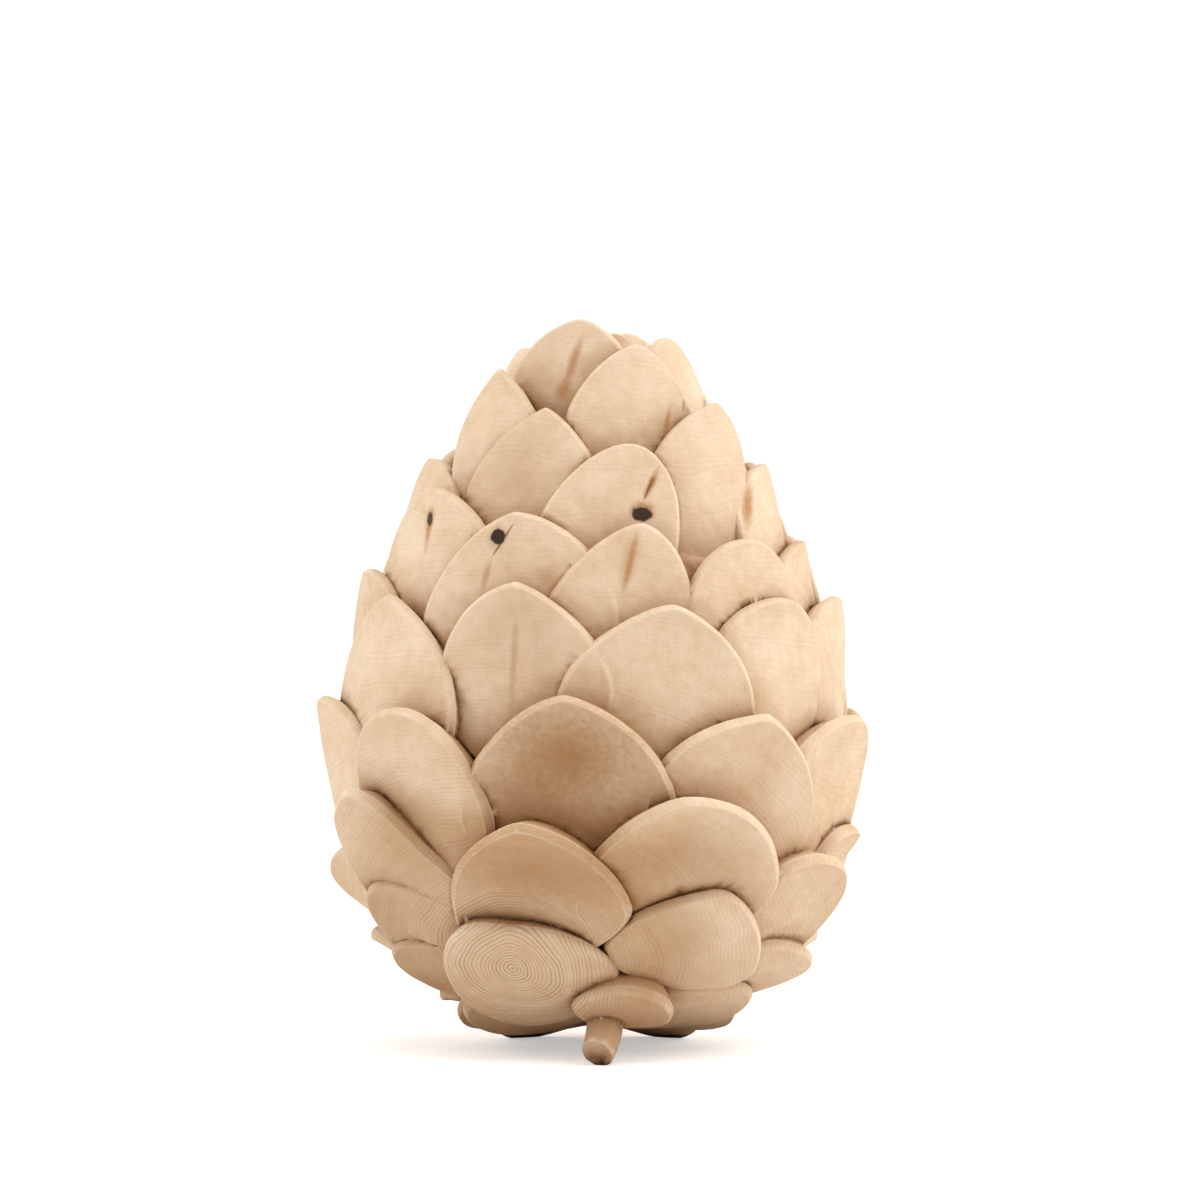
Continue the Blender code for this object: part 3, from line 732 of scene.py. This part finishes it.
@dataclass(frozen=True)
class StonePineWood:
    """Swiss stone pine, hand-carved and fine-sanded, left raw.

    To the eye: matt pale cream sapwood that turns tan low at the front, round the pith, partly
    heartwood and partly painted shade; fine growth rings there, a painted highlight on the rims,
    brown torn fibres and painted shade in the cuts, painted shade in the hollows, three pin
    knots with reddish halos and a few brown resin streaks.
    """

    pale: str = "#ecd7bd"
    tan: str = "#cfa87c"
    heartwood_and_shade: str = "#a87a48"
    latewood: str = "#8f6840"
    painted_rim_highlight: str = "#f3e3cd"
    shade: str = "#9c6d3e"
    torn_fibre_and_shade: str = "#a3703f"
    crease: str = "#4f331d"
    roughness: float = 0.68
    ring_width: float = 1.0
    pith: Point = (-21.0, -50.0, 26.0)
    trunk: Point = (-0.22, -0.89, -0.40)
    heart_and_shade_start: tuple[float, float] = (16.0, 38.0)
    heart_and_shade_edge: tuple[float, float] = (46.0, 66.0)
    mark_edge: float = 1.25
    mark_ragged: float = 0.5
    marks: tuple[Mark, ...] = MARKS

    def material(self) -> bpy.types.Material:
        """Build the wood's nodes.

        Returns:
            The material; it reads Object coordinates and the carving's own attributes.
        """
        made = bpy.data.materials.new("stone_pine_raw_sanded")
        made.use_nodes = True
        t = made.node_tree
        t.nodes.clear()
        place = add(t, "ShaderNodeTexCoord").outputs["Object"]
        mm = add(t, VECTOR, {0: place, 3: 1.0 / MM}, operation="SCALE")

        def own(name: str) -> Any:
            """Read one of the carving's own attributes."""
            return add(t, "ShaderNodeAttribute", attribute_name=name).outputs["Fac"]

        def patches(width: float, low: float, high: float, source: Any = mm,
                    detail: float = 3.0) -> Any:
            """Noise of a width in millimetres, stretched to run from nought to one."""
            grain = add(t, NOISE, {"Vector": source, "Scale": 1.0 / width, "Detail": detail,
                                   "Roughness": 0.62})
            return add(t, RANGE, {0: grain, 1: low, 2: high, 3: 0.0, 4: 1.0}).outputs[0]

        def tint(below: Any, amount: Any, share: Any, colour: str) -> Any:
            """Lay a colour over another by a share of an amount."""
            part = add(t, MATH, (amount, share), operation="MULTIPLY")
            return add(t, MIX, {0: part, 6: below, 7: linear(colour)}, data_type="RGBA").outputs[2]

        # Growth rings round a pith that leaves the block low at the front; 1 mm apart, a
        # little coarser than real, so that they show.
        drift = add(t, NOISE, {"Vector": mm, "Scale": 1.0 / 22.0, "Detail": 2.0})
        drift = add(t, VECTOR, (drift.outputs["Color"], (0.5, 0.5, 0.5)), operation="SUBTRACT")
        grain = add(t, VECTOR, (mm, add(t, VECTOR, {0: drift, 3: 7.0}, operation="SCALE")),
                    operation="ADD")
        arm = add(t, VECTOR, (grain, self.pith), operation="SUBTRACT")
        axis = Vector(self.trunk).normalized()
        arm = add(t, VECTOR, (arm, tuple(axis)), operation="CROSS_PRODUCT")
        reach = add(t, VECTOR, (arm,), operation="LENGTH").outputs["Value"]
        years = add(t, MATH, (reach, self.ring_width), operation="DIVIDE")
        turn = add(t, MATH, (years, 2.0 * math.pi), operation="MULTIPLY")
        ring = add(t, MATH, (add(t, MATH, (turn,), operation="SINE"), 0.5, 0.5),
                   operation="MULTIPLY_ADD")
        ring = add(t, MATH, (ring, 2.2), operation="POWER")
        year_tone = add(t, NOISE, {"W": add(t, MATH, (years, 0.37), operation="MULTIPLY"),
                                   "Scale": 1.0, "Detail": 2.0}, noise_dimensions="1D")
        year_tone = add(t, RANGE, {0: year_tone, 1: 0.3, 2: 0.7, 3: 0.2, 4: 1.0})
        close = add(t, RANGE, {0: reach, 1: 12.0, 2: 34.0, 3: 0.75, 4: 0.12})
        fade = add(t, RANGE, {0: reach, 1: 34.0, 2: 85.0, 3: 0.18, 4: 0.0})
        fade = add(t, MATH, (close, fade), operation="ADD")
        ring = add(t, MATH, (ring, add(t, MATH, (year_tone, fade), operation="MULTIPLY")),
                   operation="MULTIPLY")

        # Sapwood with slow patches of tan and upright fibres; round the pith a tan that is partly
        # heartwood and partly painted shade on the low front faces.
        blotch = patches(19.0, 0.36, 0.72, detail=4.0)
        mottle = patches(3.2, 0.35, 0.75)
        stretched = add(t, "ShaderNodeMapping", {"Vector": mm, "Scale": (2.6, 2.6, 0.16)})
        fibre = patches(1.0, 0.3, 0.7, stretched)
        tone: Any = 0.0
        for part, share in ((blotch, 0.42), (mottle, 0.22), (fibre, 0.16)):
            tone = add(t, MATH, (part, share, tone), operation="MULTIPLY_ADD")
        colour = add(t, MIX, {0: tone, 6: linear(self.pale), 7: linear(self.tan)},
                     data_type="RGBA").outputs[2]
        core = add(t, MATH, (patches(26.0, 0.3, 0.7), 16.0, reach), operation="MULTIPLY_ADD")
        inner = add(t, RANGE, {0: reach, 1: self.heart_and_shade_start[0], 2: self.heart_and_shade_start[1],
                               3: 0.15, 4: 0.5}, interpolation_type="SMOOTHSTEP")
        core = add(t, RANGE, {0: core, 1: self.heart_and_shade_edge[0], 2: self.heart_and_shade_edge[1], 3: 1.0, 4: 0.0},
                   interpolation_type="SMOOTHSTEP")
        colour = tint(colour, core, inner, self.heartwood_and_shade)
        colour = tint(colour, ring, 0.75, self.latewood)
        # Painted shade: the shelter mask browns the hollows and the underside near the floor.
        colour = tint(colour, own("shelter"), 0.85, self.shade)
        # Painted highlight: rims that stand out are lightened.
        rim = add(t, MATH, (mottle, -0.35, 0.95), operation="MULTIPLY_ADD")
        colour = tint(colour, own("painted_rim_highlight"), rim, self.painted_rim_highlight)
        # Creases: brown torn fibres together with painted shade, darkest deep in the crease.
        torn_fibre_and_shade = add(t, MATH, (mottle, 0.5, 0.9), operation="MULTIPLY_ADD")
        torn_fibre_and_shade = add(t, MATH, (own("crease"), torn_fibre_and_shade), operation="MULTIPLY", use_clamp=True)
        colour = tint(colour, torn_fibre_and_shade, 0.8, self.torn_fibre_and_shade)
        colour = tint(colour, add(t, MATH, (torn_fibre_and_shade, 2.5), operation="POWER"), 1.0, self.crease)

        # Knots and resin: each mark is a ragged ellipsoid in the block, cut open by the knife.
        ragged = add(t, NOISE, {"Vector": mm, "Scale": 1.0 / 1.6, "Detail": 3.0})
        for mark in self.marks:
            shade, softness = mark.kind.value
            off = add(t, "ShaderNodeMapping", {
                "Vector": mm, "Location": mark.centre, "Scale": mark.reach,
                "Rotation": (0.0, math.radians(mark.turn), 0.0)}, vector_type="TEXTURE")
            far = add(t, VECTOR, (off,), operation="LENGTH").outputs["Value"]
            far = add(t, MATH, (ragged, self.mark_ragged, far), operation="MULTIPLY_ADD")
            amount = add(t, RANGE, {0: far, 1: self.mark_edge - softness, 2: self.mark_edge,
                                    3: 1.0, 4: 0.0}, interpolation_type="SMOOTHSTEP")
            colour = tint(colour, amount, mark.strength, shade)

        # Relief in millimetres: knife facets, ring ridges, fibres, torn wood in the creases.
        facet = add(t, NOISE, {"Vector": mm, "Scale": 1.0 / 6.5, "Detail": 1.0})
        tear = add(t, NOISE, {"Vector": mm, "Scale": 1.0 / 0.7, "Detail": 3.0, "Roughness": 0.7})
        tear = add(t, MATH, (tear, own("crease")), operation="MULTIPLY")
        relief: Any = 0.0
        for part, height in ((facet, 0.45), (ring, -0.05), (fibre, 0.03), (mottle, 0.06), (tear, 0.9)):
            relief = add(t, MATH, (part, height, relief), operation="MULTIPLY_ADD")
        bump = add(t, "ShaderNodeBump", {"Strength": 1.0, "Distance": MM, "Height": relief})
        shine = add(t, MATH, (mottle, 0.12, self.roughness), operation="MULTIPLY_ADD")
        shader = add(t, "ShaderNodeBsdfPrincipled", {
            "Base Color": colour, "Roughness": shine, "Normal": bump})
        shader.inputs["IOR"].default_value = 1.45
        shader.inputs["Specular IOR Level"].default_value = 0.3
        add(t, "ShaderNodeOutputMaterial", {"Surface": shader})
        return made


@dataclass
class PineCone:
    """The whole carving, joined from core, scales and stem and worked over by hand."""

    core: CoreBody = field(default_factory=CoreBody)
    carver: ScaleCarver = field(default_factory=ScaleCarver)
    stem: StemStub = field(default_factory=StemStub)
    wood: StonePineWood = field(default_factory=StonePineWood)
    crease_angle: float = math.radians(38.0)
    cutter: float = 200.0
    fan_rays: int = 14
    shelter_reach: float = 22.0
    crease_reach: float = 3.0

    def join(self, wood: bpy.types.Material) -> bpy.types.Object:
        """Join core, scales and stem into one closed skin, flat where it stands.

        Args:
            wood: the finish.

        Returns:
            The carving.
        """
        shells = bpy.data.collections.new("shells")
        bpy.context.scene.collection.children.link(shells)
        count = self.carver.carve(scale_rows(), wood, shells)
        LOG.info("scales: %d shells", count)
        self.stem.build(shells)
        cone = self.core.build()
        union = cone.modifiers.new("join scales", "BOOLEAN")
        union.operation, union.operand_type = "UNION", "COLLECTION"
        union.collection, union.solver = shells, "MANIFOLD"
        settle(cone)
        for item in list(shells.objects):
            bpy.data.objects.remove(item)
        floor = slab_below("floor_cutter", self.cutter, self.cutter, shells)
        cut = cone.modifiers.new("flat feet", "BOOLEAN")
        cut.operation, cut.object, cut.solver = "DIFFERENCE", floor, "MANIFOLD"
        settle(cone)
        bpy.data.objects.remove(floor)
        bpy.data.collections.remove(shells)
        cone.data.materials.clear()
        cone.data.materials.append(wood)
        return cone

    @staticmethod
    def skin_only(mesh: bpy.types.Mesh) -> None:
        """Keep the outer skin, triangulated, without slivers or hollows closed inside."""
        shape = bmesh.new()
        shape.from_mesh(mesh)
        bmesh.ops.remove_doubles(shape, verts=shape.verts, dist=0.03 * MM)
        bmesh.ops.triangulate(shape, faces=shape.faces)
        shape.verts.ensure_lookup_table()
        seen: set[int] = set()
        skins: list[list[Any]] = []
        for start in shape.verts:
            if start.index in seen:
                continue
            seen.add(start.index)
            skin, waiting = [], [start]
            while waiting:
                vertex = waiting.pop()
                skin.append(vertex)
                for edge in vertex.link_edges:
                    other = edge.other_vert(vertex)
                    if other.index not in seen:
                        seen.add(other.index)
                        waiting.append(other)
            skins.append(skin)
        skins.sort(key=len)
        for skin in skins[:-1]:
            bmesh.ops.delete(shape, geom=skin, context="VERTS")
        shape.to_mesh(mesh)
        shape.free()

    @staticmethod
    def work_over(mesh: bpy.types.Mesh) -> None:
        """Leave the slight unevenness of hand work, none of it where the cone stands."""
        spots = [vertex.co / MM for vertex in mesh.vertices]
        normals = [vertex.normal.copy() for vertex in mesh.vertices]
        moved = []
        for spot, normal in zip(spots, normals):
            ease = min(1.0, max(0.0, (spot.z - 1.5) / 4.0))
            rise = 0.30 * noise.noise(spot / 13.0) + 0.12 * noise.noise(spot / 4.5 + Vector((9, 4, 2)))
            moved.extend((spot + normal * (rise * ease)) * MM)
        mesh.vertices.foreach_set("co", moved)
        mesh.update()

    def shelter(self, mesh: bpy.types.Mesh) -> tuple[np.ndarray, np.ndarray]:
        """Measure how closely each vertex is shut in, by a fan of rays; the floor shuts in too.

        Args:
            mesh: the carving's mesh.

        Returns:
            Crease and shelter of each vertex, from nought to one.
        """
        tree = BVHTree.FromPolygons([v.co.copy() for v in mesh.vertices],
                                    [tuple(p.vertices) for p in mesh.polygons])
        rays, far, close = self.fan_rays, self.shelter_reach, self.crease_reach
        golden = math.pi * (3.0 - math.sqrt(5.0))
        fan = []
        for i in range(rays):
            lift = 0.12 + 0.83 * (i + 0.5) / rays
            flat = math.sqrt(1.0 - lift * lift)
            fan.append((flat * math.cos(golden * i), flat * math.sin(golden * i), lift))
        near = np.zeros(len(mesh.vertices), dtype=np.float32)
        wide = np.zeros(len(mesh.vertices), dtype=np.float32)
        for index, vertex in enumerate(mesh.vertices):
            normal = vertex.normal
            side = normal.orthogonal().normalized()
            cross = normal.cross(side)
            start = vertex.co + normal * (0.2 * MM)
            for x, y, z in fan:
                way = side * x + cross * y + normal * z
                found = tree.ray_cast(start, way, far * MM)[3]
                if found is None and way.z < -0.05 and start.z < -far * MM * way.z:
                    found = -start.z / way.z
                if found is None:
                    continue
                gap = found / MM
                wide[index] += 1.0 - gap / far
                if gap < close:
                    near[index] += 1.0 - gap / close
        return (np.clip(near / rays * 2.2 - 0.15, 0.0, 1.0), np.clip(wide / rays * 1.5, 0.0, 1.0))

    @staticmethod
    def painted_rim_highlight(mesh: bpy.types.Mesh) -> np.ndarray:
        """Measure how far each vertex stands out over its neighbours, as a rim does; the finish paints a
        highlight there.

        Args:
            mesh: the carving's mesh.

        Returns:
            Painted highlight of each vertex, from nought to one.
        """
        points = numbers(mesh.vertices, "co", 3) / MM
        normals = numbers(mesh.vertices, "normal", 3)
        first, second = numbers(mesh.edges, "vertices", 2, np.int32).T
        rise, count = np.zeros(len(points)), np.zeros(len(points))
        for here, there in ((first, second), (second, first)):
            step = points[there] - points[here]
            slope = np.einsum("ij,ij->i", step, normals[here]) / np.linalg.norm(step, axis=1)
            np.add.at(rise, here, slope)
            np.add.at(count, here, 1.0)
        return np.clip(-rise / np.maximum(count, 1.0) * 4.0 - 0.25, 0.0, 1.0)

    def mark(self, mesh: bpy.types.Mesh) -> None:
        """Write what the finish reads: creases, shelter for painted shade and standing rims for a painted
        highlight, one value for a vertex.

        Args:
            mesh: the carving's mesh.
        """
        crease, shelter = self.shelter(mesh)
        for name, values in (("crease", crease), ("shelter", shelter), ("painted_rim_highlight", self.painted_rim_highlight(mesh))):
            layer = mesh.attributes.new(name, "FLOAT", "POINT")
            layer.data.foreach_set("value", np.asarray(values, dtype=np.float32))

    def build(self) -> bpy.types.Object:
        """Carve, join, work over and dress the cone.

        Returns:
            The finished piece.
        """
        wood = self.wood.material()
        cone = self.join(wood)
        self.skin_only(cone.data)
        self.work_over(cone.data)
        cone.data.shade_smooth()
        cone.data.set_sharp_from_angle(angle=self.crease_angle)
        self.mark(cone.data)
        LOG.info("%s: %d triangles", cone.name, len(cone.data.polygons))
        return cone


@dataclass(frozen=True)
class Lamp:
    """A wide soft light: power, spread in degrees, the way to it, and its warmth."""

    name: str
    power: float
    spread: float
    toward: Point
    warmth: float = 0.0


@dataclass
class Studio:
    """Plain pale floor, soft light from both sides and above, camera at the photo's angle."""

    distance: float = 1500.0
    elevation: float = math.radians(1.0)
    target: Point = (1.775, -3.0, 120.97)
    view_width: float = 322.6
    floor_half: float = 4500.0
    floor_depth: float = 8.0
    lamps: tuple[Lamp, ...] = (
        Lamp("soft_left", 1.6, 70.0, (-0.9, 0.12, 0.42)),
        Lamp("soft_right", 2.0, 70.0, (0.9, 0.08, 0.46)),
        Lamp("soft_overhead", 1.75, 60.0, (0.12, -0.30, 1.0), 0.04))
    fill: float = 0.3

    def floor(self) -> bpy.types.Object:
        """Lay the floor as a thin slab."""
        slab = slab_below("studio_floor", self.floor_half, self.floor_depth)
        paper = bpy.data.materials.new("matt_white_studio_board")
        paper.use_nodes = True
        t = paper.node_tree
        t.nodes.clear()
        place = add(t, "ShaderNodeTexCoord").outputs["Object"]
        speck = add(t, NOISE, {"Vector": place, "Scale": 900.0, "Detail": 2.0})
        tone = add(t, MIX, {0: speck, 6: linear("#f7f6f4"), 7: linear("#f2f1ef")},
                   data_type="RGBA").outputs[2]
        # To the camera the board glows a little, which thins the shadow on it.
        seen = add(t, "ShaderNodeLightPath").outputs["Is Camera Ray"]
        shader = add(t, "ShaderNodeBsdfPrincipled", {
            "Base Color": tone, "Roughness": 0.9, "Emission Color": linear("#ffffff"),
            "Emission Strength": add(t, MATH, (seen, 0.45), operation="MULTIPLY")})
        shader.inputs["Specular IOR Level"].default_value = 0.0
        add(t, "ShaderNodeOutputMaterial", {"Surface": shader})
        slab.data.materials.append(paper)
        return slab

    def light(self) -> None:
        """Hang soft lights left, right and overhead in a dim white room."""
        for lamp in self.lamps:
            data = bpy.data.lights.new(lamp.name, "SUN")
            data.energy, data.angle = lamp.power, math.radians(lamp.spread)
            data.color = (1.0, 1.0 - 0.5 * lamp.warmth, 1.0 - lamp.warmth)
            item = bpy.data.objects.new(lamp.name, data)
            item.rotation_euler = Vector(lamp.toward).to_track_quat("Z", "Y").to_euler()
            bpy.context.scene.collection.objects.link(item)
        world = bpy.data.worlds.new("white_room")
        world.use_nodes = True
        t = world.node_tree
        t.nodes.clear()
        seen = add(t, "ShaderNodeBackground", {"Color": (1.0, 1.0, 1.0, 1.0), "Strength": 1.05})
        lit = add(t, "ShaderNodeBackground", {"Color": (1.0, 0.95, 0.88, 1.0),
                                              "Strength": self.fill})
        path = add(t, "ShaderNodeLightPath").outputs["Is Camera Ray"]
        both = add(t, "ShaderNodeMixShader", (path, lit, seen))
        add(t, "ShaderNodeOutputWorld", {"Surface": both})
        bpy.context.scene.world = world

    def camera(self) -> bpy.types.Object:
        """Stand the camera in front, looking a little down.

        Returns:
            The camera.
        """
        data = bpy.data.cameras.new("photo_camera")
        data.sensor_width = 36.0
        data.lens = 36.0 * self.distance / self.view_width
        data.clip_start, data.clip_end = 0.05, 50.0
        eye = bpy.data.objects.new("photo_camera", data)
        facing = Vector((0.0, math.cos(self.elevation), -math.sin(self.elevation)))
        eye.location = (Vector(self.target) - facing * self.distance) * MM
        eye.rotation_euler = facing.to_track_quat("-Z", "Y").to_euler()
        bpy.context.scene.collection.objects.link(eye)
        bpy.context.scene.camera = eye
        return eye

    def build(self) -> None:
        """Set up floor, light, camera and a plain film."""
        self.floor()
        self.light()
        self.camera()
        bpy.context.scene.view_settings.view_transform = "Standard"


def main() -> None:
    """Load the frame, build the carving and the studio, and log the carving's sizes."""
    logging.basicConfig(level=logging.INFO, format="%(name)s: %(message)s")
    for item in list(bpy.data.objects):
        bpy.data.objects.remove(item)
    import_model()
    cone = PineCone().build()
    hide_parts("carved_cone")
    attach(cone, "root")
    Studio().build()


if __name__ == "__main__":
    main()
